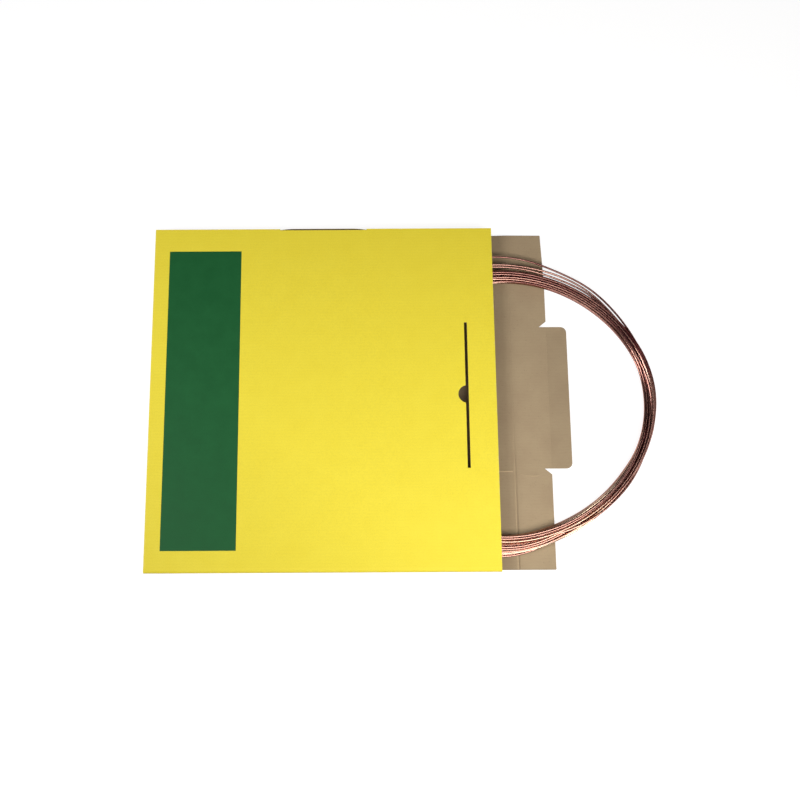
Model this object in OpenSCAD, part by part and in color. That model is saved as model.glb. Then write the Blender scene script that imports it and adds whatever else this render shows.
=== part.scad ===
// Coil of soft copper capillary tube, drawn half out of its flat corrugated carton.
// The carton lies on its back panel with its mouth towards +X and its end flap folded out flat.
// Millimetres. The origin is the middle of the carton's underside.

/* [Carton] */
// Length of the carton from its closed end to its mouth
carton_l = 350; // [330:1:400]
// Width of the carton over its two long walls
carton_w = 352; // [330:1:400]
// Depth of the carton over its front and back panels
carton_d = 20; // [19:0.5:30]
// Thickness of the corrugated board
board_t = 1.5; // [1.2:0.1:1.8]
// Outside radius of the folds along the long walls
fold_r = 2.5; // [2:0.1:4]

/* [Side lock] */
// Length of the slit in the fold between the front panel and one long wall
side_slit_l = 90; // [40:1:150]
// Width of that slit across the fold
side_slit_w = 1.3; // [0.8:0.1:2]

/* [End flap] */
// Width of the lock panel from its crease to its free edge
lock_w = 38.5; // [30:0.5:60]
// Set-back of the flap's two ends from the long walls
flap_inset = 1.5; // [0.5:0.5:6]
// Width of the tongue
tongue_w = 148; // [80:1:200]
// Reach of the tongue past the lock panel's free edge
tongue_l = 21; // [12:0.5:35]
// Radius of the tongue's corners
tongue_r = 6; // [2:0.5:10]
// Depth of the shoulder notches beside the tongue
notch_depth = 7.5; // [3:0.5:15]
// Width of the shoulder notches at the free edge
notch_w = 6; // [2:0.5:15]
// Depth of the pressed crease lines
crease_depth = 0.4; // [0.1:0.1:0.6]

/* [Lock slit] */
// Width of the slit that takes the tongue
slit_w = 3; // [2:0.1:5]
// Spare length of the slit over the tongue
slit_spare = 1; // [0.5:0.5:6]
// Radius of the half-round thumb notch on the slit
thumb_r = 9; // [6:0.5:12]

/* [Coil] */
// Outside diameter of the tube
tube_d = 2; // [1.6:0.1:2.2]
// Turns along each side of the six-sided bundle
bundle_side = 4; // [2:1:4]
// Radius of the coil at the middle of its bundle
coil_r = 139; // [110:1:150]
// Distance of the coil's axis outside the carton's mouth
coil_out = 18; // [0:1:60]
// Offset of the coil's axis towards the lower long wall
coil_side = 9; // [0:1:15]
// Gap between the lowest turns and the board under them
rest_gap = 0.2; // [0.1:0.1:0.5]

/* [Hidden] */
$fn = 96;
// Overshoot of a cut past the face that it opens
cut = 1;
mouth_x = carton_l / 2;
wall_y = carton_w / 2;
// The end wall stands between the middles of the two panels when the flap is shut
crease_x = mouth_x + carton_d - board_t;
edge_x = crease_x + lock_w;
flap_w = carton_w - 2 * flap_inset;
// Shut, the flap's shoulders stop one board short of the slit
slit_x = mouth_x - (lock_w - notch_depth - board_t);
slit_l = tongue_w + slit_spare;
// Half the height of the six-sided bundle, which stands on one of its corners
bundle_half_h = (bundle_side - 1) * tube_d + tube_d / 2;
coil_z = board_t + rest_gap + bundle_half_h;

// Middle of an outer turn, counted round the six sides of the bundle
function outer_turn(side, step) =
    let (reach = (bundle_side - 1) * tube_d, turn = 30 + 60 * side)
    reach * [cos(turn), sin(turn)] + step * tube_d * [cos(turn + 120), sin(turn + 120)];

outer_turns = [for (side = [0 : 5], step = [0 : bundle_side - 2]) outer_turn(side, step)];

module rounded_rect(w, h, r) {
    square([w - 2 * r, h], center = true);
    square([w, h - 2 * r], center = true);
    for (x = [-1, 1], y = [-1, 1])
        translate([x * (w / 2 - r), y * (h / 2 - r)]) circle(r);
}

// Bar along X with a rounded section, its underside at the given height
module rounded_bar(x0, x1, w, h, r, z0) {
    translate([x0, 0, z0 + h / 2])
        rotate([90, 0, 90])
            linear_extrude(x1 - x0) rounded_rect(w, h, r);
}

// Four walls and the closed end
module sleeve() {
    difference() {
        rounded_bar(-mouth_x, mouth_x, carton_w, carton_d, fold_r, 0);
        rounded_bar(-mouth_x + board_t, mouth_x + cut, carton_w - 2 * board_t,
            carton_d - 2 * board_t, fold_r - board_t, board_t);
    }
}

// Slit across the front panel for the flap's tongue, with its thumb notch on the inner side
module lock_slit() {
    translate([slit_x, 0, carton_d - board_t - cut])
        linear_extrude(board_t + 2 * cut) {
            square([slit_w, slit_l], center = true);
            difference() {
                circle(thumb_r);
                translate([0, -thumb_r]) square(2 * thumb_r);
            }
        }
}

// Slit along the fold of the upper long wall, through which its tuck is pushed
module side_slit() {
    translate([-side_slit_l / 2, wall_y - side_slit_w, carton_d - board_t - side_slit_w])
        cube([side_slit_l, side_slit_w + cut, board_t + side_slit_w + cut]);
}

module tongue_outline() {
    straight = tongue_w - 2 * tongue_r;
    translate([edge_x - notch_depth, -straight / 2]) square([notch_depth + tongue_l, straight]);
    translate([edge_x - notch_depth, -tongue_w / 2]) square([notch_depth + tongue_l - tongue_r, tongue_w]);
    for (y = [-1, 1])
        translate([edge_x + tongue_l - tongue_r, y * straight / 2]) circle(tongue_r);
}

// End wall, lock panel and tongue as cut, with the notches at the tongue's shoulders
module flap_outline() {
    difference() {
        translate([mouth_x - cut, -flap_w / 2]) square([edge_x - mouth_x + cut, flap_w]);
        for (y = [-1, 1])
            polygon([
                [edge_x - notch_depth, y * tongue_w / 2],
                [edge_x + cut, y * tongue_w / 2],
                [edge_x + cut, y * (tongue_w / 2 + notch_w * (1 + cut / notch_depth))]
            ]);
    }
    tongue_outline();
}

// Pressed V-groove in the flap's upper side
module crease(x, length) {
    translate([x, 0, board_t])
        rotate([0, 45, 0])
            cube([crease_depth * sqrt(2), length, crease_depth * sqrt(2)], center = true);
}

module end_flap() {
    difference() {
        linear_extrude(board_t) flap_outline();
        crease(mouth_x + board_t, flap_w + 2 * cut);
        crease(crease_x, flap_w + 2 * cut);
        crease(edge_x, tongue_w + 2 * cut);
    }
}

module carton() {
    color("#f6e04a") {
        difference() {
            sleeve();
            lock_slit();
            side_slit();
        }
        end_flap();
    }
}

// Outer turns of the wound tube round a plain core that stands for the hidden ones
module bundle_section() {
    polygon(outer_turns);
    for (middle = outer_turns)
        translate(middle) circle(d = tube_d);
}

module tube_coil() {
    color("#a9685a")
        translate([mouth_x + coil_out, -coil_side, coil_z])
            rotate_extrude()
                translate([coil_r, 0]) bundle_section();
}

carton();
tube_coil();
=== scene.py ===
"""Looks of a coil of soft copper capillary tube, drawn half out of its flat corrugated carton."""

import math

import bpy
import numpy as np
from mathutils import Matrix, Vector
from mathutils.geometry import delaunay_2d_cdt


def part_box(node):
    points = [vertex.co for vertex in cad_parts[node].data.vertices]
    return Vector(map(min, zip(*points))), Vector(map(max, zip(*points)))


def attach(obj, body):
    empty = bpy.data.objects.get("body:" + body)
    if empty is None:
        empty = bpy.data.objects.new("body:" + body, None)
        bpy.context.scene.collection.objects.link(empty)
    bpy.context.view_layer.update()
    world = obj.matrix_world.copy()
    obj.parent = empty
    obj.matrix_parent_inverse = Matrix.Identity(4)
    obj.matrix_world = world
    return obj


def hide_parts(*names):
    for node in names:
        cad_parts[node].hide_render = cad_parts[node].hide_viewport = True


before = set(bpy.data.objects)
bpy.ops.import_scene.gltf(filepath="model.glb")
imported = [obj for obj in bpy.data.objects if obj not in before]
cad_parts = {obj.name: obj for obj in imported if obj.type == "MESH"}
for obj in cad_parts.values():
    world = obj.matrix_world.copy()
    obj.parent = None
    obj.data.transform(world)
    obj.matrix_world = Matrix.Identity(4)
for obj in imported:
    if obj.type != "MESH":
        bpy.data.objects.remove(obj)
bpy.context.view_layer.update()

# Sizes, in millimetres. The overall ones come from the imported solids.
MM = 0.001
carton_low, carton_high = [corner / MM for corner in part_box("carton")]
coil_low, coil_high = [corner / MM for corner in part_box("tube_coil")]

MOUTH_X = -carton_low.x
WALL_Y = carton_high.y
CARTON_D = carton_high.z
TONGUE_X = carton_high.x

# Corrugated board, its folds and the tucks behind the walls
BOARD_T = 1.5
LINER_T = 0.28
FLUTE_T = 0.16
FLUTE_PITCH = 3.2
FLUTE_ROWS = 8
FLUTE_BAND = 12.0
FLUTE_SIDE_BAND = 2 * FLUTE_PITCH
FOLD_R = 2.5
FOLD_MID_R = FOLD_R - BOARD_T / 2
FOLD_STEPS = 6
TUCK_W = 18.0
TUCK_BEVEL = 10.0
# Room between the closed end's wall and the long walls
END_GAP = 0.4
MESH_STEP = 8.0

# Folded-out flap: end wall, lock panel and tongue
CREASE_X = MOUTH_X + CARTON_D - BOARD_T
LOCK_W = 38.5
EDGE_X = CREASE_X + LOCK_W
FLAP_INSET = 1.5
FLAP_HALF = WALL_Y - FLAP_INSET
TONGUE_HALF = 74.0
TONGUE_R = 6.0
NOTCH_DEPTH = 7.5
NOTCH_W = 6.0
# Slight slant of the free edge towards the flap's upper end
END_TRIM = 2.4
END_TRIM_L = 54.0
# Rise of the flap's crease over the floor at its lower and its upper end
FLAP_LIFT = (1.6, 1.0)

# Beads and grooves that creasing leaves, pressed hardest at the flap's lower end
BEAD_H = 0.4
BEAD_HALF_W = 1.0
MOUTH_BEAD = 0.5
EDGE_BEAD = 0.4
GROOVE_D = 0.5
GROOVE_OFF = 1.9
PRESS_LEAST = 0.1
PRESS_START = 0.1
PRESS_SPAN = 0.6
# Lines of the mesh across a bead, in half widths from its middle
BEAD_LINES = (-1, -0.6, -0.25, 0, 0.25, 0.6, 1)
# Short pressed marks on the flap: start and end along the length, place across it, how much paler it is
# drawn
FLAP_MARKS = ((176.0, 191.5, -76.9, 2.2), (208.0, 216.0, -81.6, 0.8))
MARK_H = 0.4
MARK_HALF_W = 0.5
MARK_FADE_W = 3.0
MARK_PALE_HALF_W = 1.4 * MARK_HALF_W
# Painted highlight on the crease bead and painted shade in its groove, from a place across the flap
# downwards, and the darker tongue
CREASE_LIGHT_START_Y = -20.0
CREASE_LIGHT_SPAN = 95.0
CREASE_LIGHT_POWER = 1.5
TONGUE_DULL = 0.32
TONGUE_DULL_START = 3.0
TONGUE_DULL_W = 5.0

# Lock slit with its thumb notch, and the slit along the upper wall's fold
SLIT_X = MOUTH_X - (LOCK_W - NOTCH_DEPTH - BOARD_T)
SLIT_HALF_W = 1.5
SLIT_ROOM = 0.5
SLIT_HALF_L = TONGUE_HALF + SLIT_ROOM
THUMB_R = 9.0
SIDE_SLIT_HALF = 45.0
SIDE_SLIT_W = 1.3
SIDE_SLIT_RISE = 1.4
SIDE_SLIT_TOP = 0.3
SIDE_SLIT_LEAN = 1.7
SIDE_SLIT_RAMP = 12.0

# Printed block, and the bow of the front panel
GREEN_X = (-159.5, -85.0)
GREEN_Y = (-154.5, 152.0)
PANEL_SAG = 1.0
SAG_SHARE = 0.85
MOUTH_BULGE = 0.8
GAPE_START = 0.6

# Tube and coil
TUBE_R = 1.0
TUBE_BORE_R = 0.45
BORE_DEPTH = 12.0
TUBE_SIDES = 12
TURNS = 35
STATIONS = 144
BUNDLE_HALF_W = 3 * 2 * TUBE_R * math.cos(math.radians(30)) + TUBE_R
COIL_CENTRE = ((coil_low + coil_high) / 2).xy
COIL_R = (coil_high.x - coil_low.x) / 2 - BUNDLE_HALF_W

# Rounding in comparisons of lengths
NEARLY = 1e-6


def mesh_piece(name, points, faces, materials, face_materials=None, sharp_deg=40.0):
    """A mesh object from points in millimetres, smooth except at edges sharper than the given angle."""
    mesh = bpy.data.meshes.new(name)
    mesh.from_pydata((np.asarray(points) * MM).tolist(), [], faces)
    for material in materials:
        mesh.materials.append(material)
    if face_materials is not None:
        mesh.polygons.foreach_set("material_index", np.asarray(face_materials, dtype=np.int32))
    mesh.polygons.foreach_set("use_smooth", np.ones(len(mesh.polygons), dtype=bool))
    mesh.set_sharp_from_angle(angle=math.radians(sharp_deg))
    mesh.validate()
    mesh.update()
    piece = bpy.data.objects.new(name, mesh)
    bpy.context.scene.collection.objects.link(piece)
    return piece


def point_values(piece, name, values):
    """Keep one number for each point of a piece, for its material to read."""
    layer = piece.data.attributes.new(name, "FLOAT", "POINT")
    layer.data.foreach_set("value", values.astype(np.float32))


# Materials

class Nodes:
    """Short calls for building the node tree of a material or a world."""

    def __init__(self, owner, output_kind="ShaderNodeOutputMaterial"):
        self.owner = owner
        self.owner.use_nodes = True
        self.tree = owner.node_tree
        self.tree.nodes.clear()
        self.output = self.tree.nodes.new(output_kind)

    def add(self, kind, inputs=None, **settings):
        node = self.tree.nodes.new(kind)
        for key, value in settings.items():
            setattr(node, key, value)
        for key, value in (inputs or {}).items():
            self.put(node.inputs[key], value)
        return node

    def put(self, socket, value):
        if isinstance(value, bpy.types.NodeSocket):
            self.tree.links.new(value, socket)
        else:
            socket.default_value = value

    def attribute(self, name):
        return self.add("ShaderNodeAttribute", attribute_name=name).outputs["Fac"]

    def math(self, operation, a, b=0.0, clamp=False):
        node = self.add("ShaderNodeMath", {0: a, 1: b}, operation=operation, use_clamp=clamp)
        return node.outputs[0]

    def scaled(self, value, factor, base):
        """The value times a factor, plus a base."""
        inputs = {0: value, 1: factor, 2: base}
        return self.add("ShaderNodeMath", inputs, operation="MULTIPLY_ADD").outputs[0]

    def blend(self, a, share_a, b, share_b):
        """Sum of two values, each with its share."""
        return self.math("ADD", self.math("MULTIPLY", a, share_a), self.math("MULTIPLY", b, share_b))

    def noise(self, vector, scale, detail, roughness):
        inputs = {"Vector": vector, "Scale": scale, "Detail": detail, "Roughness": roughness}
        return self.add("ShaderNodeTexNoise", inputs).outputs["Fac"]

    def ramp(self, fac, stops):
        """Colours between stops, each a position and a colour."""
        node = self.add("ShaderNodeValToRGB", {"Fac": fac})
        elements = node.color_ramp.elements
        while len(elements) < len(stops):
            elements.new(0.5)
        for element, (position, colour) in zip(elements, stops):
            element.position = position
            element.color = (*colour, 1.0)
        return node.outputs["Color"]

    def greys(self, fac, *stops):
        """Greys between stops, each a position and a brightness."""
        return self.ramp(fac, [(position, (value, value, value)) for position, value in stops])

    def mix(self, fac, a, b, blend="MIX"):
        node = self.add("ShaderNodeMix", data_type="RGBA", blend_type=blend)
        self.put(node.inputs["Factor"], fac)
        self.put(node.inputs["A"], a if isinstance(a, bpy.types.NodeSocket) else (*a, 1.0))
        self.put(node.inputs["B"], b if isinstance(b, bpy.types.NodeSocket) else (*b, 1.0))
        return node.outputs["Result"]

    def shaded(self, colour, shade, share=1.0):
        """The colour times a shade, as far as the share says."""
        return self.mix(share, colour, shade, "MULTIPLY")

    def bump(self, height, distance, strength, normal=None):
        node = self.add("ShaderNodeBump", {"Height": height, "Distance": distance, "Strength": strength})
        if normal is not None:
            self.put(node.inputs["Normal"], normal)
        return node.outputs["Normal"]

    def finish(self, shader):
        self.put(self.output.inputs["Surface"], shader)
        return self.owner


def washboard(nodes, position):
    """Faint ridges of the flutes under the liner, along the carton's length."""
    across = nodes.add("ShaderNodeSeparateXYZ", {"Vector": position}).outputs["Y"]
    phase = nodes.math("MULTIPLY", across, 2 * math.pi / (FLUTE_PITCH * MM))
    return nodes.math("SINE", phase)


# Print: shade of the ridges, way to the corner darkened by painted shade, width, share and colour of the
# scuffs
RIDGE_SHADE = 0.008
PAINTED_SHADE_TOWARDS = (-0.55, -0.83, 0.0)
SCUFF_W = 1.6
SCUFF_SHARE = 0.3
SCUFF_COLOUR = (0.80, 0.68, 0.42)


def scuffs(nodes, position):
    """Patches of rubbed print within a millimetre or two of the front panel's edges."""
    place = nodes.add("ShaderNodeSeparateXYZ", {"Vector": position}).outputs
    off_wall = nodes.math("SUBTRACT", WALL_Y * MM, nodes.math("ABSOLUTE", place["Y"]))
    off_end = nodes.math("SUBTRACT", MOUTH_X * MM, nodes.math("ABSOLUTE", place["X"]))
    nearest = nodes.math("MINIMUM", off_wall, nodes.math("ABSOLUTE", off_end))
    near = nodes.math("SUBTRACT", 1.0, nodes.math("DIVIDE", nearest, SCUFF_W * MM), clamp=True)
    off_top = nodes.math("SUBTRACT", CARTON_D * MM, place["Z"])
    on_front = nodes.math("LESS_THAN", off_top, BOARD_T * MM)
    patches = nodes.greys(nodes.noise(position, 130.0, 5.0, 0.7), (0.5, 0.0), (0.62, 1.0))
    rubbed = nodes.math("MULTIPLY", nodes.math("MULTIPLY", near, on_front), patches)
    return nodes.math("MULTIPLY", rubbed, SCUFF_SHARE)


def printed_board(name, ink, ink_thin):
    """Ink on the outer liner: slightly uneven cover, fine paper tooth, scuffed along the edges."""
    nodes = Nodes(bpy.data.materials.new(name))
    position = nodes.add("ShaderNodeTexCoord").outputs["Object"]
    cover = nodes.noise(position, 55.0, 4.0, 0.6)
    speckle = nodes.noise(position, 900.0, 2.0, 0.6)
    fibre = nodes.noise(position, 1500.0, 3.0, 0.6)
    ridges = washboard(nodes, position)
    colour = nodes.mix(nodes.greys(cover, (0.35, 0.0), (0.75, 1.0)), ink, ink_thin)
    colour = nodes.shaded(colour, nodes.greys(speckle, (0.3, 0.93), (0.6, 1.0)))
    colour = nodes.shaded(colour, nodes.scaled(ridges, RIDGE_SHADE, 1.0 - RIDGE_SHADE))
    # Painted shade: the print darkens towards the lower corner of the closed end, as if less light fell
    # there.
    towards = {0: position, 1: PAINTED_SHADE_TOWARDS}
    reach = nodes.add("ShaderNodeVectorMath", towards, operation="DOT_PRODUCT").outputs["Value"]
    colour = nodes.shaded(colour, nodes.greys(reach, (0.06, 1.0), (0.25, 0.80)))
    colour = nodes.mix(scuffs(nodes, position), colour, SCUFF_COLOUR)
    normal = nodes.bump(fibre, 0.04 * MM, 0.35)
    normal = nodes.bump(ridges, 0.02 * MM, 0.25, normal)
    shader = nodes.add("ShaderNodeBsdfPrincipled", {
        "Base Color": colour, "Roughness": nodes.scaled(cover, 0.12, 0.50), "Normal": normal,
        "IOR": 1.45, "Specular IOR Level": 0.18})
    return nodes.finish(shader.outputs[0])


# How much paler or darker the bare liner is drawn on the flap: painted highlight and shade at the crease,
# paler marks, darker tongue
TONE_AND_PAINTED_LIGHT_SHARE = 0.28


def kraft_board(name, light, dark, ridge_painted_shade):
    """Bare brown liner: long fibres, flecks and faint bands of the flutes under it."""
    nodes = Nodes(bpy.data.materials.new(name))
    position = nodes.add("ShaderNodeTexCoord").outputs["Object"]
    stretched = nodes.add("ShaderNodeMapping", {"Vector": position, "Scale": (0.18, 1.0, 1.0)})
    fibres = nodes.noise(stretched.outputs[0], 1100.0, 5.0, 0.65)
    clouds = nodes.noise(position, 26.0, 3.0, 0.55)
    flecks = nodes.noise(position, 700.0, 1.0, 0.4)
    ridges = washboard(nodes, position)
    tone = nodes.blend(fibres, 0.35, clouds, 0.65)
    colour = nodes.mix(nodes.greys(tone, (0.34, 0.0), (0.66, 1.0)), dark, light)
    colour = nodes.shaded(colour, nodes.greys(flecks, (0.24, 0.72), (0.33, 1.0)), 0.5)
    # Painted shade along the flute ridges under the liner
    colour = nodes.shaded(colour, nodes.scaled(ridges, ridge_painted_shade, 1.0 - ridge_painted_shade))
    # Painted highlight and shade at the flap's crease, with its paler marks and darker tongue
    colour = nodes.shaded(colour, nodes.scaled(nodes.attribute("tone_and_painted_light"), TONE_AND_PAINTED_LIGHT_SHARE, 1.0))
    normal = nodes.bump(fibres, 0.05 * MM, 0.35)
    normal = nodes.bump(ridges, 0.03 * MM, 0.3, normal)
    shader = nodes.add("ShaderNodeBsdfPrincipled", {
        "Base Color": colour, "Roughness": 0.78, "Normal": normal, "Specular IOR Level": 0.25})
    return nodes.finish(shader.outputs[0])


# Copper: tones from bright to dull by tarnish, the painted shade that each metre upwards or past FAR_X adds
# to it, and the painted light that each metre downwards takes off
COPPER_TONES = ((0.38, (0.94, 0.81, 0.58)), (0.50, (0.65, 0.38, 0.305)), (0.64, (0.15, 0.036, 0.038)))
COPPER_EDGE = (0.78, 0.46, 0.43, 1.0)
UPPER_PAINTED_SHADE = 0.32
LOWER_PAINTED_LIGHT = 0.12
FAR_PAINTED_SHADE = 1.0
FAR_X = 270.0


def copper_tube(name):
    """Soft drawn copper: bright along the drawing lines, with duller brown stretches."""
    nodes = Nodes(bpy.data.materials.new(name))
    along = nodes.attribute("along")
    around = nodes.attribute("around")
    line = nodes.add("ShaderNodeCombineXYZ", {"X": nodes.math("MULTIPLY", along, 4.0), "Y": around})
    streaks = nodes.noise(line.outputs[0], 9.0, 4.0, 0.6)
    stretch = nodes.add("ShaderNodeCombineXYZ", {"X": along})
    dulling = nodes.noise(stretch.outputs[0], 2.6, 3.0, 0.6)
    tarnish_and_painted_light = nodes.blend(dulling, 0.85, streaks, 0.15)
    position = nodes.add("ShaderNodeTexCoord").outputs["Object"]
    place = nodes.add("ShaderNodeSeparateXYZ", {"Vector": position}).outputs
    # Painted shade on the coil's upper and far side, painted light on its lower side, added to the random
    # tarnish
    above = nodes.math("MAXIMUM", place["Y"], 0.0)
    below = nodes.math("MINIMUM", place["Y"], 0.0)
    beyond = nodes.math("MAXIMUM", nodes.math("SUBTRACT", place["X"], FAR_X * MM), 0.0)
    tarnish_and_painted_light = nodes.math("ADD", tarnish_and_painted_light, nodes.blend(above, UPPER_PAINTED_SHADE, below, LOWER_PAINTED_LIGHT))
    tarnish_and_painted_light = nodes.math("ADD", tarnish_and_painted_light, nodes.math("MULTIPLY", beyond, FAR_PAINTED_SHADE))
    drawn = nodes.greys(streaks, (0.3, 0.86), (0.7, 1.0))
    shader = nodes.add("ShaderNodeBsdfPrincipled", {
        "Base Color": nodes.shaded(nodes.ramp(tarnish_and_painted_light, COPPER_TONES), drawn), "Metallic": 1.0,
        "Roughness": nodes.scaled(tarnish_and_painted_light, 0.13, 0.09), "Normal": nodes.bump(streaks, 0.02 * MM, 0.2),
        "Specular Tint": COPPER_EDGE})
    return nodes.finish(shader.outputs[0])


# Floor: its own grey, and the light added for the eye and mirrors
FLOOR_GREY = (0.30, 0.30, 0.30, 1.0)
FLOOR_LIFT = 0.85


def white_floor(name):
    """Matt grey floor that the eye and mirrors see lifted to white, with the object's shadow on it."""
    nodes = Nodes(bpy.data.materials.new(name))
    paths = nodes.add("ShaderNodeLightPath").outputs
    seen = nodes.math("MAXIMUM", paths["Is Camera Ray"], paths["Is Glossy Ray"])
    seen = nodes.math("MAXIMUM", seen, paths["Is Transmission Ray"])
    matt = nodes.add("ShaderNodeBsdfDiffuse", {"Color": FLOOR_GREY})
    glow = nodes.add("ShaderNodeEmission", {
        "Color": (1.0, 1.0, 1.0, 1.0), "Strength": nodes.math("MULTIPLY", seen, FLOOR_LIFT)})
    both = nodes.add("ShaderNodeAddShader", {0: matt.outputs[0], 1: glow.outputs[0]})
    return nodes.finish(both.outputs[0])


# Materials of the carton's faces, in the order of these numbers
YELLOW, GREEN, KRAFT, FLUTE = range(4)
board_materials = [
    printed_board("yellow_print", (0.88, 0.737, 0.055), (0.86, 0.713, 0.049)),
    printed_board("green_print", (0.008, 0.100, 0.026), (0.011, 0.114, 0.031)),
    kraft_board("kraft_liner", (0.395, 0.303, 0.187), (0.345, 0.255, 0.158), 0.010),
    kraft_board("kraft_flute", (0.36, 0.25, 0.15), (0.26, 0.18, 0.10), 0.0),
]
copper = copper_tube("soft_copper")


# Carton: one flat blank, meshed in its own plane and then folded

def walk(legs, start, heading):
    """Path of straight legs and quarter turns to the left. Gives point and outward normal at a distance."""
    point = np.array(start, dtype=float)
    along = np.array(heading, dtype=float)
    stretches = []
    travelled = 0.0
    for length, turns in legs:
        stretches.append((travelled, length, point, along, False))
        travelled += length
        point = point + along * length
        if turns:
            arc = math.pi / 2 * FOLD_MID_R
            stretches.append((travelled, arc, point, along, True))
            travelled += arc
            left = np.array([-along[1], along[0]])
            point = point + FOLD_MID_R * (along + left)
            along = left

    def at(distance):
        distance = np.asarray(distance, dtype=float)
        where = np.zeros((*distance.shape, 2))
        normal = np.zeros((*distance.shape, 2))
        for begin, length, origin, ahead, bends in stretches:
            reached = distance >= begin - NEARLY
            step = distance[reached] - begin
            left = np.array([-ahead[1], ahead[0]])
            if bends:
                angle = (step / FOLD_MID_R)[:, None]
                where[reached] = origin + FOLD_MID_R * (left + ahead * np.sin(angle) - left * np.cos(angle))
                normal[reached] = ahead * np.sin(angle) - left * np.cos(angle)
            else:
                where[reached] = origin + ahead * step[:, None]
                normal[reached] = -left
        return where, normal

    return at, stretches, travelled


# The blank's girth runs from the upper edge of the front panel round to the tuck behind the upper wall
FLAT_W = 2 * WALL_Y - 2 * FOLD_R
WALL_H = CARTON_D - 2 * FOLD_R
LOW_WALL_H = WALL_H - BOARD_T
girth_legs = [
    (FLAT_W + FOLD_R, True),
    (WALL_H, True),
    (FLAT_W, True),
    (LOW_WALL_H, True),
    (TUCK_W, False),
]
girth, girth_stretches, GIRTH = walk(girth_legs, (WALL_Y, CARTON_D - BOARD_T / 2), (-1, 0))
# Even stretches are the panels, odd ones the bends between them
FRONT_END_S = girth_stretches[1][0]
BACK_S = girth_stretches[4][0] + FLAT_W / 2
UPPER_WALL_S = girth_stretches[6][0]
SIDE_SLIT_S = girth_stretches[7][0] + SIDE_SLIT_RISE
TUCK_S = girth_stretches[8][0]

END_FOLD_X = -(MOUTH_X - FOLD_R)
END_HALF = WALL_Y - FOLD_R - END_GAP
end_legs = [(0.0, True), (LOW_WALL_H, True), (TUCK_W, False)]
end_wall, end_stretches, END_LENGTH = walk(end_legs, (-END_FOLD_X, BOARD_T / 2), (1, 0))
END_TUCK_X = END_FOLD_X - end_stretches[4][0]


def bump_profile(distance, half_width):
    """Smooth hump, one at the middle and nothing past the half width."""
    return np.cos(np.clip(np.abs(distance) / half_width, 0, 1) * math.pi / 2) ** 2


def flap_lift(x, y):
    """Rise of the folded-out flap over the floor, because its crease keeps a little of the fold."""
    up = np.clip((x - MOUTH_X) / (CREASE_X - MOUTH_X), 0, 1)
    down = np.clip((x - CREASE_X) / (EDGE_X - CREASE_X), 0, 1)
    most = np.interp(y, (-WALL_Y, WALL_Y), FLAP_LIFT)
    return most * np.where(x < CREASE_X, up, 1 - down)


def flap_relief(x, y):
    """Height of the beads that creasing leaves on the flap's upper face, and of the pressed marks."""
    pressed = PRESS_LEAST + (1 - PRESS_LEAST) * np.clip(PRESS_START - y / (PRESS_SPAN * WALL_Y), 0, 1)
    height = MOUTH_BEAD * BEAD_H * bump_profile(x - MOUTH_X - BOARD_T, BEAD_HALF_W)
    height += BEAD_H * pressed * bump_profile(x - CREASE_X, BEAD_HALF_W)
    height -= GROOVE_D * pressed * bump_profile(x - CREASE_X - GROOVE_OFF, BEAD_HALF_W)
    height += EDGE_BEAD * BEAD_H * bump_profile(x - EDGE_X, BEAD_HALF_W) * (np.abs(y) < TONGUE_HALF)
    for begin, end, across, _ in FLAP_MARKS:
        half_width = np.where(y < across, MARK_HALF_W, MARK_FADE_W)
        height += MARK_H * bump_profile(y - across, half_width) * ((x >= begin) & (x <= end))
    return height


def flap_painted_light_and_tone(x, y):
    """Tone of the flap: painted highlight on the crease bead, painted shade in its groove, paler marks, a
    darker tongue.
    """
    pressed = np.clip((CREASE_LIGHT_START_Y - y) / CREASE_LIGHT_SPAN, 0, 1) ** CREASE_LIGHT_POWER
    # Painted highlight on the crease bead and painted shade in the groove beside it
    tone_and_painted_light = pressed * bump_profile(x - CREASE_X, BEAD_HALF_W)
    tone_and_painted_light -= pressed * bump_profile(x - CREASE_X - GROOVE_OFF, BEAD_HALF_W)
    for begin, end, across, paleness in FLAP_MARKS:
        tone_and_painted_light += paleness * bump_profile(y - across, MARK_PALE_HALF_W) * ((x >= begin) & (x <= end))
    tongue = np.clip((x - EDGE_X + TONGUE_DULL_START) / TONGUE_DULL_W, 0, 1) * (np.abs(y) <= TONGUE_HALF)
    return tone_and_painted_light - TONGUE_DULL * tongue


def front_bow(x, y):
    """Height of the front panel over its plane: it sags a little inside and gapes at the mouth."""
    across = np.cos(np.clip(y / WALL_Y, -1, 1) * math.pi / 2)
    lengthways = np.clip((x + MOUTH_X) / (2 * MOUTH_X), 0, 1)
    sag = np.sin(np.clip(lengthways / SAG_SHARE, 0, 1) * math.pi)
    gape = np.clip((lengthways - GAPE_START) / (1 - GAPE_START), 0, 1) ** 2
    return across * (MOUTH_BULGE * gape - PANEL_SAG * sag)


def side_lean(x, s):
    """How far the upper wall leans out along its slit, most at the freed edge."""
    up = np.clip((s - UPPER_WALL_S) / (SIDE_SLIT_S - UPPER_WALL_S), 0, 1)
    along = np.clip((SIDE_SLIT_HALF - np.abs(x)) / SIDE_SLIT_RAMP, 0, 1)
    return SIDE_SLIT_LEAN * up ** 2 * along * (2 - along) * (s <= SIDE_SLIT_S + NEARLY)


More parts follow.
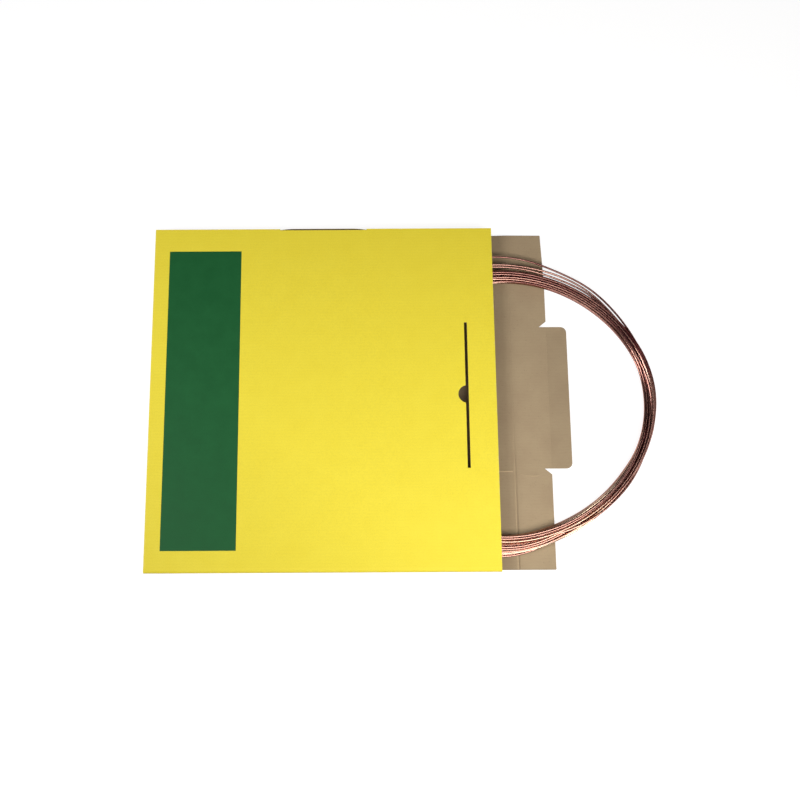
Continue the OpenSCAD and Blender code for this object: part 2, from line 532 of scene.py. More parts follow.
def fold(flat, offset):
    """Points of the folded carton from points (x, s) of the blank, offset from its middle surface."""
    x, s = flat[:, 0], flat[:, 1]
    offset = np.broadcast_to(np.asarray(offset, dtype=float), x.shape).copy()
    where, normal = girth(s)
    y, z = where[:, 0], where[:, 1]
    on_flap = (x > MOUTH_X) & (np.abs(s - BACK_S) < FLAT_W / 2 + FOLD_R)
    upper = on_flap & (offset < 0)
    offset[upper] -= flap_relief(x, y)[upper] * np.clip(-offset[upper] / (BOARD_T / 2), 0, 1)
    points = np.column_stack([x, y + normal[:, 0] * offset, z + normal[:, 1] * offset])
    points[on_flap, 2] += flap_lift(x, y)[on_flap]
    on_front = s < FRONT_END_S
    points[on_front, 2] += front_bow(x, y)[on_front]
    points[:, 1] += side_lean(x, s)
    ends = (x < END_FOLD_X) & (np.abs(s - BACK_S) <= END_HALF + NEARLY)
    if ends.any():
        where, normal = end_wall(END_FOLD_X - x[ends])
        points[ends, 0] = -(where[:, 0] + normal[:, 0] * offset[ends])
        points[ends, 1] = y[ends]
        points[ends, 2] = where[:, 1] + normal[:, 1] * offset[ends]
    return points


def arc_points(centre, radius, start_deg, end_deg, count):
    """Points along an arc between two angles in degrees."""
    angles = np.radians(np.linspace(start_deg, end_deg, count))
    return [(centre[0] + radius * math.cos(a), centre[1] + radius * math.sin(a)) for a in angles]


def flap_outline():
    """Outline of the flap past the mouth, from one end of the mouth edge to the other."""
    corner_x = TONGUE_X - TONGUE_R
    corner_s = TONGUE_HALF - TONGUE_R
    half = [
        (MOUTH_X, -FLAP_HALF),
        (EDGE_X, -FLAP_HALF),
        (EDGE_X, -TONGUE_HALF - NOTCH_W),
        (EDGE_X - NOTCH_DEPTH, -TONGUE_HALF),
        *arc_points((corner_x, -corner_s), TONGUE_R, -90, 0, 9),
    ]
    other = [(x, -s) for x, s in reversed(half)]
    other[-2:-1] = [(EDGE_X, FLAP_HALF - END_TRIM_L), (EDGE_X - END_TRIM, FLAP_HALF)]
    return [(x, BACK_S + s) for x, s in half + other]


def blank_outline():
    """Outline of the whole blank, flap and tucks included."""
    back_corner = END_HALF + END_GAP
    return [
        (-MOUTH_X, 0.0),
        (-SIDE_SLIT_HALF, 0.0),
        (-SIDE_SLIT_HALF, SIDE_SLIT_W),
        (SIDE_SLIT_HALF, SIDE_SLIT_W),
        (SIDE_SLIT_HALF, 0.0),
        (MOUTH_X, 0.0),
        *flap_outline(),
        (MOUTH_X, TUCK_S),
        (MOUTH_X - TUCK_BEVEL, GIRTH),
        (-MOUTH_X + TUCK_W + 2 * TUCK_BEVEL, GIRTH),
        (-MOUTH_X + TUCK_W + TUCK_BEVEL, TUCK_S),
        (-MOUTH_X, TUCK_S),
        (-MOUTH_X, BACK_S + back_corner),
        (END_FOLD_X, BACK_S + back_corner),
        (END_FOLD_X, BACK_S + END_HALF),
        (END_TUCK_X, BACK_S + END_HALF),
        (END_FOLD_X - END_LENGTH, BACK_S + END_HALF - TUCK_BEVEL),
        (END_FOLD_X - END_LENGTH, BACK_S - END_HALF + TUCK_BEVEL),
        (END_TUCK_X, BACK_S - END_HALF),
        (END_FOLD_X, BACK_S - END_HALF),
        (END_FOLD_X, BACK_S - back_corner),
        (-MOUTH_X, BACK_S - back_corner),
    ]


def slit_outline():
    """Slit in the front panel with its half-round thumb notch."""
    left, right = SLIT_X - SLIT_HALF_W, SLIT_X + SLIT_HALF_W
    reach = math.degrees(math.asin(SLIT_HALF_W / THUMB_R))
    notch = arc_points((SLIT_X, WALL_Y), THUMB_R, 270 - reach, 90 + reach, 17)
    return [
        (right, WALL_Y - SLIT_HALF_L),
        (right, WALL_Y + SLIT_HALF_L),
        (left, WALL_Y + SLIT_HALF_L),
        *[(x, 2 * WALL_Y - s) for x, s in notch],
        (left, WALL_Y - SLIT_HALF_L),
    ]


def side_slit_outline():
    """Slot along the fold of the upper wall."""
    top = TUCK_S + SIDE_SLIT_TOP
    return [
        (-SIDE_SLIT_HALF, SIDE_SLIT_S),
        (SIDE_SLIT_HALF, SIDE_SLIT_S),
        (SIDE_SLIT_HALF, top),
        (-SIDE_SLIT_HALF, top),
    ]


def fold_lines():
    """Lines along every bend, crease and printed edge, which the mesh has to follow."""
    lines = []
    for begin, length, _, _, bends in girth_stretches:
        if bends:
            for s in begin + np.linspace(0, 1, FOLD_STEPS) * length:
                lines.append([(-MOUTH_X, s), (MOUTH_X, s)])
    for begin, length, _, _, bends in end_stretches:
        if bends:
            for x in END_FOLD_X - begin - np.linspace(0, 1, FOLD_STEPS) * length:
                lines.append([(x, BACK_S - END_HALF), (x, BACK_S + END_HALF)])
    creases = (
        (MOUTH_X + BOARD_T, FLAP_HALF),
        (CREASE_X, FLAP_HALF),
        (CREASE_X + GROOVE_OFF, FLAP_HALF),
        (EDGE_X, TONGUE_HALF),
    )
    for middle, reach in creases:
        for share in BEAD_LINES:
            x = middle + share * BEAD_HALF_W
            lines.append([(x, BACK_S - reach), (x, BACK_S + reach)])
    for begin, end, across, _ in FLAP_MARKS:
        for step in (-2 * MARK_HALF_W, -MARK_HALF_W, 0, MARK_HALF_W, 2 * MARK_HALF_W, MARK_FADE_W):
            s = BACK_S + across + step
            lines.append([(begin, s), (end, s)])
    left, right = GREEN_X
    first, last = WALL_Y - GREEN_Y[1], WALL_Y - GREEN_Y[0]
    lines.append([(left, first), (right, first), (right, last), (left, last), (left, first)])
    return lines


def divided(points, step):
    """The same line with no stretch longer than the step."""
    result = []
    for a, b in zip(points[:-1], points[1:]):
        count = max(1, math.ceil(math.dist(a, b) / step))
        for share in np.arange(count) / count:
            result.append((a[0] + (b[0] - a[0]) * share, a[1] + (b[1] - a[1]) * share))
    result.append(points[-1])
    return result


def inside(points, loops):
    """Which points lie in the outline and in none of its holes."""
    crossings = np.zeros(len(points), dtype=int)
    for loop in loops:
        for (x0, y0), (x1, y1) in zip(loop, loop[1:] + loop[:1]):
            if y0 == y1:
                continue
            level = (points[:, 1] >= min(y0, y1)) & (points[:, 1] < max(y0, y1))
            cross_x = x0 + (points[:, 1] - y0) * (x1 - x0) / (y1 - y0)
            crossings += level & (points[:, 0] < cross_x)
    return crossings % 2 == 1


def mesh_flat(loops, lines, step):
    """Triangles over the blank that keep its outline, holes and lines."""
    points = []
    edges = []
    for loop in loops:
        chain = divided(loop + loop[:1], step)[:-1]
        first = len(points)
        points += chain
        edges += [(first + i, first + (i + 1) % len(chain)) for i in range(len(chain))]
    for line in lines:
        chain = divided(line, step)
        first = len(points)
        points += chain
        edges += [(first + i, first + i + 1) for i in range(len(chain) - 1)]
    fixed = np.array(points)
    low, high = fixed.min(0), fixed.max(0)
    columns = np.arange(low[0], high[0], step)
    rows = np.arange(low[1], high[1], step)
    grid = np.stack(np.meshgrid(columns, rows), -1).reshape(-1, 2)
    grid = grid[inside(grid, loops)]
    room = np.array([np.min(np.hypot(*(fixed - p).T)) for p in grid])
    points += [tuple(p) for p in grid[room > 0.5 * step]]
    found = delaunay_2d_cdt([Vector(p) for p in points], edges, [], 1, 1e-4)
    flat = np.array([tuple(v) for v in found[0]])
    triangles = np.array([f for f in found[2] if len(f) == 3])
    return flat, triangles[inside(flat[triangles].mean(1), loops)]


def shell(flat, triangles, low, high):
    """Closed skin between two offsets of the blank, with one outer face for each triangle first."""
    count = len(flat)
    points = np.vstack([fold(flat, high), fold(flat, low)])
    outer = triangles[:, ::-1]
    inner = triangles + count
    sides = np.vstack([triangles[:, [0, 1]], triangles[:, [1, 2]], triangles[:, [2, 0]]])
    _, back, uses = np.unique(np.sort(sides, axis=1), axis=0, return_inverse=True, return_counts=True)
    rim = sides[uses[back.ravel()] == 1]
    walls = np.column_stack([rim[:, 0], rim[:, 1], rim[:, 1] + count, rim[:, 0] + count])
    return points, outer.tolist() + inner.tolist() + walls.tolist()


def flute_band(s_values, x_stations):
    """Wavy middle sheet of the board on a grid of rows along the girth and stations along the length."""
    columns = [np.broadcast_to(np.asarray(x, dtype=float), s_values.shape) for x in x_stations]
    x = np.stack(columns, 1)
    s = np.broadcast_to(s_values[:, None], x.shape)
    room = BOARD_T / 2 - LINER_T
    reach = room - FLUTE_T / 2
    phase = 2 * math.pi * s.reshape(-1) / FLUTE_PITCH
    wave = reach * np.cos(phase)
    slope = reach * 2 * math.pi / FLUTE_PITCH * np.sin(phase)
    half = FLUTE_T / 2 * np.sqrt(1 + slope ** 2)
    rows, width = x.shape
    index = np.arange(rows * width).reshape(rows, width)
    a, b, c, d = index[:-1, :-1], index[:-1, 1:], index[1:, 1:], index[1:, :-1]
    triangles = np.vstack([np.stack(corners, -1).reshape(-1, 3) for corners in ([a, b, c], [a, c, d])])
    flat = np.column_stack([x.reshape(-1), s.reshape(-1)])
    return shell(flat, triangles, np.clip(wave - half, -room, room), np.clip(wave + half, -room, room))


def flute_rows(low, high):
    """Rows along the girth, close enough to show each flute's wave."""
    count = max(2, math.ceil((high - low) / FLUTE_PITCH * FLUTE_ROWS))
    return np.linspace(low, high, count + 1)


def tongue_edge(s):
    """Far edge of the flap at a place along it: tongue with round corners, notches, then the lock panel."""
    y = np.abs(s - BACK_S)
    corner = np.clip(y - (TONGUE_HALF - TONGUE_R), 0, TONGUE_R)
    tongue = TONGUE_X - TONGUE_R + np.sqrt(np.maximum(TONGUE_R ** 2 - corner ** 2, 0))
    slope = np.clip((y - TONGUE_HALF) / NOTCH_W, 0, 1)
    trim = END_TRIM * np.clip((s - BACK_S - FLAP_HALF) / END_TRIM_L + 1, 0, 1)
    return np.where(y <= TONGUE_HALF, tongue, EDGE_X - NOTCH_DEPTH * (1 - slope) - trim)


def notch_edge(s):
    """Left edge of the lock slit at a place along it."""
    dip = np.sqrt(np.maximum(THUMB_R ** 2 - (s - WALL_Y) ** 2, 0))
    return SLIT_X - np.maximum(SLIT_HALF_W, dip)


def flute_bands():
    """The fluted middle sheet along the cut edges, as deep as an eye can look in."""
    bands = []
    # Mouth edge beside the flap, and the closed end's cut edges
    for low, high in ((0.0, BACK_S - FLAP_HALF), (BACK_S + FLAP_HALF, TUCK_S)):
        bands.append((flute_rows(low, high), (MOUTH_X - FLUTE_BAND, MOUTH_X)))
    for low, high in ((SIDE_SLIT_W, BACK_S - END_HALF - END_GAP), (BACK_S + END_HALF + END_GAP, TUCK_S)):
        bands.append((flute_rows(low, high), (-MOUTH_X, -MOUTH_X + FLUTE_BAND)))
    # Both edges of the lock slit
    rows = flute_rows(WALL_Y - SLIT_HALF_L, WALL_Y + SLIT_HALF_L)
    bands.append((rows, (notch_edge(rows) - FLUTE_BAND, notch_edge(rows))))
    bands.append((rows, (SLIT_X + SLIT_HALF_W, SLIT_X + SLIT_HALF_W + FLUTE_BAND)))
    # Free edge of the flap, in three parts that meet at the notches
    past_tongue = TONGUE_HALF + 0.01
    for low, high in ((-FLAP_HALF, -past_tongue), (-TONGUE_HALF, TONGUE_HALF), (past_tongue, FLAP_HALF)):
        rows = flute_rows(BACK_S + low, BACK_S + high)
        bands.append((rows, (tongue_edge(rows) - FLUTE_BAND, tongue_edge(rows))))
    # Upper edge of the front panel, and the upper wall's edge along its slit
    lengthways = np.linspace(-MOUTH_X + FLUTE_BAND, MOUTH_X - FLUTE_BAND, 40)
    bands.append((flute_rows(SIDE_SLIT_W, SIDE_SLIT_W + FLUTE_SIDE_BAND), lengthways))
    freed = np.linspace(-SIDE_SLIT_HALF, SIDE_SLIT_HALF, 24)
    bands.append((flute_rows(SIDE_SLIT_S - FLUTE_SIDE_BAND, SIDE_SLIT_S), freed))
    # Both ends of the flap
    flap_end = (MOUTH_X, (MOUTH_X + CREASE_X) / 2, CREASE_X, EDGE_X - FLUTE_BAND)
    for side in (-1, 1):
        edge = BACK_S + side * FLAP_HALF
        inner = edge - side * FLUTE_SIDE_BAND
        bands.append((flute_rows(min(edge, inner), max(edge, inner)), flap_end))
    return [flute_band(rows, stations) for rows, stations in bands]


def build_carton():
    """Printed outer liner, bare inner liner and the flutes between them, as one piece."""
    loops = [blank_outline(), slit_outline(), side_slit_outline()]
    flat, triangles = mesh_flat(loops, fold_lines(), MESH_STEP)
    half = BOARD_T / 2
    liners = [shell(flat, triangles, half - LINER_T, half), shell(flat, triangles, -half, -half + LINER_T)]
    points = []
    faces = []
    materials = []
    total = 0
    for skins, material in ((liners, KRAFT), (flute_bands(), FLUTE)):
        for skin, skin_faces in skins:
            points.append(skin)
            faces += [[i + total for i in face] for face in skin_faces]
            materials += [material] * len(skin_faces)
            total += len(skin)
    x, s = flat[triangles].mean(1).T
    y = WALL_Y - s
    on_green = (x > GREEN_X[0]) & (x < GREEN_X[1]) & (y > GREEN_Y[0]) & (y < GREEN_Y[1])
    materials[:len(triangles)] = np.where(on_green, GREEN, YELLOW).tolist()
    board = mesh_piece("carton_board", np.vstack(points), faces, board_materials, materials, 35.0)
    x, s = flat.T
    on_flap = (x > MOUTH_X) & (np.abs(s - BACK_S) < FLAP_HALF + 1)
    # Each liner has two faces over the whole blank, and the flutes come after them
    tone_and_painted_light = np.zeros(total)
    # Painted highlight and shade of the flap's crease, with its paler marks and darker tongue, for the bare
    # liner
    tone_and_painted_light[:4 * len(flat)] = np.tile(np.where(on_flap, flap_painted_light_and_tone(x, s - BACK_S), 0), 4)
    point_values(board, "tone_and_painted_light", tone_and_painted_light)
    return board


carton = build_carton()
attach(carton, "root")
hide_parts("carton")


# Coil: one tube wound in turns that settle beside and on each other

# Angle round the coil in degrees, and millimetres there from the coil's middle radius
BUNDLE_INNER = [
    (-180, -8), (-130, -7), (-95, -6), (-85, -11), (-75, -13.4), (-64, -12.6), (-50, -12.1),
    (-35, -11.3), (-20, -7.9), (-5, -6.2), (5, -5.7), (15, -5.5), (25, -6.9), (40, -10.3), (55, -13),
    (70, -13), (85, -12.3), (95, -11), (135, -9),
]
BUNDLE_OUTER = [
    (-180, 8), (-130, 14), (-95, 16.8), (-85, 9.8), (-75, 4.4), (-64, 1.9), (-50, -0.2), (-35, 1.4),
    (-20, 2.3), (-5, 6.6), (5, 7.3), (15, 7.2), (25, 5.8), (40, 2.2), (55, 0.5), (70, 0), (85, 1.3),
    (95, 3), (135, 8),
]
FIRST_LOOSE = [
    (-180, 3), (-150, 4), (-95, 8), (-60, -5), (-20, 0), (5, 4), (28, 4.6), (40, 5.5), (55, 8.2),
    (70, 9.4), (85, 15.0), (93, 17.5), (120, 21), (150, 12),
]
SECOND_LOOSE = [
    (-180, 2.5), (-150, 3.5), (-95, 7), (-60, -5), (-20, -1), (5, 3), (28, 2.5), (40, 1.8), (55, 5),
    (70, 5.9), (85, 7.2), (93, 9), (125, 13), (155, 9),
]
THIRD_LOOSE = [
    (-180, 2), (-150, 3), (-95, 6), (-60, -6), (-20, -2), (5, 2), (28, 1), (40, 0.2), (55, 2.7),
    (70, 1.9), (85, 4.8), (93, 6.5), (125, 11), (155, 8),
]
# Loose turns, the last ones wound, and their height over the board
LOOSE_TURNS = ((FIRST_LOOSE, 6.0), (SECOND_LOOSE, 7.0), (THIRD_LOOSE, 7.5))
# Angle, and how far the bundle leans inwards there for each millimetre of height over its level line
BUNDLE_LEAN = [
    (-180, 0), (-135, 0), (-90, 0), (-75, -0.06), (-60, -0.1), (-42, 0.02), (-22, 0.2), (0, 0.35),
    (45, 0.4), (90, 0.33), (135, 0.1),
]
LEVEL_Z = 12.0
# Angle, and how much higher the bundle stands there along its inner edge than along its outer one
BUNDLE_TILT = [
    (-180, 0), (-135, 4), (-95, 12), (-75, 10), (-55, 5), (-35, 2), (-10, 0), (90, 0), (135, 0),
]
TILT_PIVOT = 0.4
# Angle, and how far the turns spread sideways there, as a multiple of their width
TURN_SPREAD = [
    (-180, 1.2), (-130, 1.5), (-95, 1.7), (-84, 1.6), (-73, 1.35), (-58, 1.2), (0, 1.12), (26, 1.1),
    (45, 1.05), (75, 1.1), (88, 1.25), (97, 1.4), (135, 1.3),
]

# Winding: turns in a layer, the angle past which a turn steps to the next place, and how layers flatten
LAYER_TURNS = (6, 5)
STEP_DEG = 140
FLATTEN = 1.15
FLATTEST = 0.6
# Drift of the turns: number of waves round the coil and size in millimetres
SEED = 7
RADIUS_DRIFT = (4, 1.0)
HEIGHT_DRIFT = (6, 1.1)
RIDER_DRIFT = (3, 0.4)
# Angle near the mouth where the turns lie calmest, how far that reaches, and the drift that is left there
CALM_DEG = -88.0
CALM_REACH = (20, 50)
CALM_DRIFT = 0.35
# Turns on top of the bundle that stray across it, their rise, and how far full drift sinks them
RIDER_COUNT = 6
RIDERS = range(TURNS - len(LOOSE_TURNS) - RIDER_COUNT, TURNS - len(LOOSE_TURNS))
RIDER_RISE = 3.5
RIDER_SINK = 1.5

# Settling: rounds that settle the turns, rounds that clear them of each other, and last smoothing passes
SETTLE_ROUNDS = 280
CLEAR_ROUNDS = 360
LAST_PASSES = 2
# Share of the tube's unevenness that each round takes out
SETTLE_SMOOTHING = 0.3
CLEAR_SMOOTHING = 0.15
LAST_SMOOTHING = 0.5
# Share of the way to its own place that a turn is pulled, and a loose one while settling and clearing
TURN_PULL = 0.05
LOOSE_PULL = 0.3
LOOSE_HOLD = 0.1
# How turns push each other apart, and how much room each one takes
PUSH = 0.3
SQUAT_POWER = 0.6
OWN_WIDTH = (0.92, 1.1)
CLEAR_APART = 2.02 * TUBE_R
# Room at the board and the front panel, and past the bundle's edges where they are hidden or shown
BED_GAP = 0.15
ROOF_GAP = 0.2
HIDDEN_DEG = 110
HIDDEN_EASE = 4.0
SHOWN_EASE = 0.3


def round_curve(knots, angles):
    """Smooth periodic curve through given values at angles in degrees."""
    at = np.array([k[0] for k in knots], dtype=float)
    value = np.array([k[1] for k in knots], dtype=float)
    at = np.concatenate([at[-2:] - 360, at, at[:2] + 360])
    value = np.concatenate([value[-2:], value, value[:2]])
    slope = np.gradient(value, at)
    i = np.clip(np.searchsorted(at, angles, side="right") - 1, 0, len(at) - 2)
    gap = at[i + 1] - at[i]
    t = (angles - at[i]) / gap
    return ((2 * t ** 3 - 3 * t ** 2 + 1) * value[i] + (t ** 3 - 2 * t ** 2 + t) * gap * slope[i]
            + (3 * t ** 2 - 2 * t ** 3) * value[i + 1] + (t ** 3 - t ** 2) * gap * slope[i + 1])


def winding_sites():
    """Place of each turn in the bundle, laid in layers to and fro from the bottom up."""
    sites = []
    layer = 0
    while len(sites) < TURNS:
        count = LAYER_TURNS[layer % 2]
        row = [((i - (count - 1) / 2) * 2 * TUBE_R, layer * TUBE_R * math.sqrt(3)) for i in range(count)]
        sites += row if layer % 2 == 0 else row[::-1]
        layer += 1
    return np.array(sites[:TURNS])


def wander(random, angles, waves, size):
    """Slow random drift of each turn round the coil."""
    drift = np.zeros((TURNS, len(angles)))
    for wave in range(1, waves + 1):
        phase = random.uniform(0, 2 * math.pi, (TURNS, 1))
        share = random.normal(0, 1, (TURNS, 1)) / wave ** 0.5
        drift += share * np.sin(np.radians(angles) * wave + phase)
    return size * drift / math.sqrt(waves)


def goals(random, angles, inner, outer, spread, bed):
    """Radius and height that each turn is drawn to, by its place in the bundle and its own drift."""
    sites = winding_sites()
    before = np.vstack([sites[:1], sites[:-1]])
    after = np.vstack([sites[1:], sites[-1:]])
    toward = np.where(angles[None, :, None] > 0, after[:, None, :], before[:, None, :])
    step = np.clip((np.abs(angles) - STEP_DEG) / (2 * (180 - STEP_DEG)), 0, 0.5)
    home = sites[:, None, :] + (toward - sites[:, None, :]) * step[None, :, None]
    middle = (inner + outer) / 2
    reach = (outer - inner) / np.ptp(sites[:, 0])
    radius = middle + home[:, :, 0] * reach + wander(random, angles, *RADIUS_DRIFT) * spread
    flatten = np.clip(FLATTEN / reach, FLATTEST, 1.0)
    drift_left = np.interp(np.abs(angles - CALM_DEG), CALM_REACH, (CALM_DRIFT, 1.0))
    height = bed + home[:, :, 1] * flatten + wander(random, angles, *HEIGHT_DRIFT) * drift_left
    stray = wander(random, angles, *RIDER_DRIFT) * drift_left
    for number, turn in enumerate(RIDERS):
        place = 2 * (number + 0.5) / len(RIDERS) - 1
        radius[turn] = middle + np.clip(place + stray[turn], -1, 1) * (outer - inner) / 2
        height[turn] += RIDER_RISE - RIDER_SINK * drift_left
    height += round_curve(BUNDLE_TILT, angles) * (TILT_PIVOT - (radius - inner) / (outer - inner))
    return radius, np.maximum(height, bed)


def push_apart(r, z, least, spread):
    """Move turns that lie closer than the least distance away from each other, further sideways than up."""
    squat = spread ** SQUAT_POWER
    dr = (r[:, None, :] - r[None, :, :]) / spread
    dz = (z[:, None, :] - z[None, :, :]) * squat
    gap = np.hypot(dr, dz) + 1e-9
    push = PUSH * np.maximum(least - gap, 0) / gap
    push[np.arange(TURNS), np.arange(TURNS)] = 0
    r += (push * dr).sum(1) * spread
    z += (push * dz).sum(1) / squat


def smooth(r, z, share):
    """Even out radius and height along the whole tube, as its stiffness does."""
    for line in (r.reshape(-1), z.reshape(-1)):
        line[1:-1] += share * (0.5 * (line[:-2] + line[2:]) - line[1:-1])


def wind_coil():
    """Middle line of the tube, in millimetres."""
    random = np.random.default_rng(SEED)
    angles = -180 + 360 * np.arange(STATIONS) / STATIONS
    inner = round_curve(BUNDLE_INNER, angles) + TUBE_R
    outer = round_curve(BUNDLE_OUTER, angles) - TUBE_R
    spread = round_curve(TURN_SPREAD, angles)
    lean = round_curve(BUNDLE_LEAN, angles)
    ring_x = COIL_CENTRE[0] + COIL_R * np.cos(np.radians(angles))
    ring_y = COIL_CENTRE[1] + COIL_R * np.sin(np.radians(angles))
    bed = BOARD_T + BED_GAP + flap_lift(ring_x, ring_y) + TUBE_R
    roof = CARTON_D - BOARD_T - PANEL_SAG - TUBE_R - ROOF_GAP
    goal_r, goal_z = goals(random, angles, inner, outer, spread, bed)
    ease = np.where(np.abs(angles) > HIDDEN_DEG, HIDDEN_EASE, SHOWN_EASE)
    low = np.tile(inner - ease, (TURNS, 1))
    high = np.tile(outer + ease, (TURNS, 1))
    pull = np.full((TURNS, 1), TURN_PULL)
    hold = np.zeros((TURNS, 1))
    for number, (knots, height) in enumerate(LOOSE_TURNS, 1):
        goal_r[-number] = round_curve(knots, angles)
        goal_z[-number] = bed + height
        high[-number] = np.maximum(high[-number], goal_r[-number] + TUBE_R)
        pull[-number] = LOOSE_PULL
        hold[-number] = LOOSE_HOLD
    own = random.uniform(*OWN_WIDTH, (TURNS, 1, 1))
    apart = 2 * TUBE_R * np.maximum((own + own.transpose(1, 0, 2)) / 2, 1.0)
    goal_r -= lean * (goal_z - LEVEL_Z)
    r, z = goal_r.copy(), goal_z.copy()

    def relax(rounds, draw, smoothing, pushes, least, sideways):
        for _ in range(rounds):
            r[:] += draw * (goal_r - r)
            z[:] += draw * (goal_z - z)
            smooth(r, z, smoothing)
            for _ in range(pushes):
                push_apart(r, z, least, sideways)
                z[:] = np.clip(z, bed, roof)
                slant = lean * (z - LEVEL_Z)
                r[:] = np.clip(r + slant, low, high) - slant

    relax(SETTLE_ROUNDS, pull, SETTLE_SMOOTHING, 1, apart, spread)
    relax(CLEAR_ROUNDS, hold, CLEAR_SMOOTHING, 2, CLEAR_APART, 1.0)
    for _ in range(LAST_PASSES):
        smooth(r, z, LAST_SMOOTHING)
    radius = COIL_R + r.reshape(-1)
    angle = np.radians(np.tile(angles, TURNS))
    return np.column_stack([COIL_CENTRE[0] + radius * np.cos(angle), COIL_CENTRE[1] + radius * np.sin(angle),
                            np.maximum(z, bed).reshape(-1)])


def sweep_tube(path):
    """Round tube along a path, with its bore open at both ends, and each point's place along and around."""
    tangent = np.gradient(path, axis=0)
    tangent /= np.linalg.norm(tangent, axis=1)[:, None]
    side = np.cross(tangent, (0, 0, 1))
    side /= np.linalg.norm(side, axis=1)[:, None]
    up = np.cross(side, tangent)
    turn = 2 * math.pi * np.arange(TUBE_SIDES) / TUBE_SIDES

    def ring(index, radius, shift=0.0):
        centre = path[index] + tangent[index] * shift
        return centre + radius * (np.cos(turn)[:, None] * side[index] + np.sin(turn)[:, None] * up[index])

    rings = [ring(0, TUBE_BORE_R, BORE_DEPTH), ring(0, TUBE_BORE_R)]
    rings += [ring(i, TUBE_R) for i in range(len(path))]
    rings += [ring(-1, TUBE_BORE_R), ring(-1, TUBE_BORE_R, -BORE_DEPTH)]
    points = np.vstack(rings)
    n = TUBE_SIDES
    faces = []
    for row in range(len(rings) - 1):
        a, b = row * n, (row + 1) * n
        faces += [[a + i, a + (i + 1) % n, b + (i + 1) % n, b + i] for i in range(n)]
    faces.append(list(range(n))[::-1])
    faces.append([len(points) - n + i for i in range(n)])
    travelled = np.concatenate([[0], np.cumsum(np.linalg.norm(np.diff(path, axis=0), axis=1))]) * MM
    along = np.concatenate([[0, 0], travelled, [travelled[-1]] * 2])
    return points, faces, np.repeat(along, n), np.tile(np.arange(n) / n, len(rings))


def build_coil():
    """The wound tube as one piece."""
    points, faces, along, around = sweep_tube(wind_coil())
    coil = mesh_piece("copper_tube", points, faces, [copper], sharp_deg=60.0)
    point_values(coil, "along", along)
    point_values(coil, "around", around)
    return coil


coil = build_coil()
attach(coil, "root")
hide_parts("tube_coil")


# Studio

FLOOR_HALF = 60000.0
FLOOR_Z = -0.2

# Dome: height of each stop from the horizon to overhead, its brightness there, and the dome's tint
DOME_STOPS = ((0.0, 0.8), (0.02, 0.35), (0.08, 0.10), (0.3, 0.04), (1.0, 0.04))
DOME_TINT = (1.04, 0.95, 1.01)
# Small pale ceiling: the way to it, half its width and its soft edge in degrees, how much paler it is
CEILING_TOWARDS = (0.055, 0.05, 1.0)
CEILING_DEG = 7.0
CEILING_EDGE_DEG = 1.5
CEILING_GAIN = 46.0

# Lamps: name, place and aim, width and height, all in metres, then power in watts and tint
WARM = (1.0, 0.975, 0.93)
WHITE = (1.0, 1.0, 1.0)
LAMPS = (
    ("key", (0.405, -0.33, 0.575), (0.405, -0.05, 0.0), (0.47, 0.30), 3.2, WARM),
    ("fill", (0.04, -0.34, 0.60), (0.04, -0.06, 0.0), (0.26, 0.24), 0.74, WARM),
    ("right", (0.68, -0.155, 0.55), (0.30, -0.155, 0.0), (0.41, 0.14), 0.55, WHITE),
    ("side", (-0.53, -0.125, 0.73), (0.0, 0.0, 0.0), (0.22, 0.45), 4.6, WHITE),
)

# Camera: angles in degrees, target in millimetres, distance in metres, lens and sensor in millimetres
CAMERA_AZIMUTH = -0.187
CAMERA_ELEVATION = 80.217
CAMERA_ROLL = -0.11
CAMERA_TARGET = (37.26, -3.84, 10.0)
CAMERA_DISTANCE = 0.85
CAMERA_LENS = 37.5
CAMERA_SENSOR = 36.0
CAMERA_SHIFT_X = 0.05


def build_floor():
    """Wide flat floor just under the part."""
    corners = [(x * FLOOR_HALF, y * FLOOR_HALF, FLOOR_Z) for x, y in ((-1, -1), (1, -1), (1, 1), (-1, 1))]
    floor = mesh_piece("floor", corners, [[0, 1, 2, 3]], [white_floor("white_floor")])


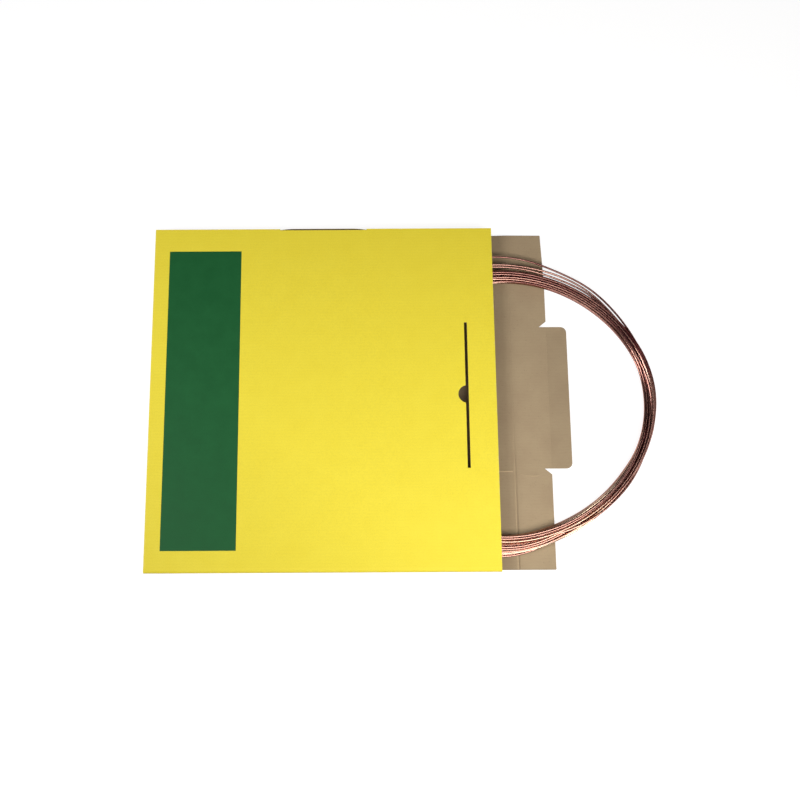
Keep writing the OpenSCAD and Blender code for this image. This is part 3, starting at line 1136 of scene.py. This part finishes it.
def build_world():
    """Studio dome, dim except at the horizon and in a pale round ceiling."""
    nodes = Nodes(bpy.data.worlds.new("studio"), "ShaderNodeOutputWorld")
    direction = nodes.add("ShaderNodeTexCoord").outputs["Generated"]
    height = nodes.add("ShaderNodeSeparateXYZ", {"Vector": direction}).outputs["Z"]
    tones = [(stop, [part * value for part in DOME_TINT]) for stop, value in DOME_STOPS]
    towards = {0: direction, 1: Vector(CEILING_TOWARDS).normalized()}
    nearness = nodes.add("ShaderNodeVectorMath", towards, operation="DOT_PRODUCT").outputs["Value"]
    strength = nodes.add("ShaderNodeMapRange", {
        "Value": nearness,
        "From Min": math.cos(math.radians(CEILING_DEG + CEILING_EDGE_DEG)),
        "From Max": math.cos(math.radians(CEILING_DEG - CEILING_EDGE_DEG)),
        "To Min": 1.0, "To Max": CEILING_GAIN}, interpolation_type="SMOOTHSTEP")
    background = nodes.add("ShaderNodeBackground", {
        "Color": nodes.ramp(height, tones), "Strength": strength.outputs[0]})
    bpy.context.scene.world = nodes.finish(background.outputs[0])


def area_light(name, place, aim, size, power, tint):
    """Rectangular lamp aimed at a point and unseen by the camera."""
    lamp = bpy.data.lights.new(name, "AREA")
    lamp.shape = "RECTANGLE"
    lamp.size, lamp.size_y = size
    lamp.energy = power
    lamp.color = tint
    holder = bpy.data.objects.new(name, lamp)
    holder.location = place
    holder.rotation_euler = (Vector(aim) - Vector(place)).to_track_quat("-Z", "Y").to_euler()
    holder.visible_camera = False
    bpy.context.scene.collection.objects.link(holder)


def build_camera():
    """Camera nearly overhead, a little towards the lower long wall."""
    azimuth, elevation, roll = (math.radians(a) for a in (CAMERA_AZIMUTH, CAMERA_ELEVATION, CAMERA_ROLL))
    level = math.cos(elevation)
    back = Vector((math.sin(azimuth) * level, -math.cos(azimuth) * level, math.sin(elevation)))
    right = Vector((0, 0, 1)).cross(back).normalized()
    up = back.cross(right)
    right, up = (math.cos(roll) * right + math.sin(roll) * up, math.cos(roll) * up - math.sin(roll) * right)
    lens = bpy.data.cameras.new("camera")
    lens.sensor_width = CAMERA_SENSOR
    lens.lens = CAMERA_LENS
    lens.shift_x = CAMERA_SHIFT_X
    lens.clip_start = 0.01
    holder = bpy.data.objects.new("camera", lens)
    turn = Matrix((right, up, back)).transposed().to_4x4()
    holder.matrix_world = Matrix.Translation(Vector(CAMERA_TARGET) * MM + CAMERA_DISTANCE * back) @ turn
    bpy.context.scene.collection.objects.link(holder)
    bpy.context.scene.camera = holder


build_floor()
build_world()
build_camera()
for lamp in LAMPS:
    area_light(*lamp)
bpy.context.scene.view_settings.view_transform = "Standard"
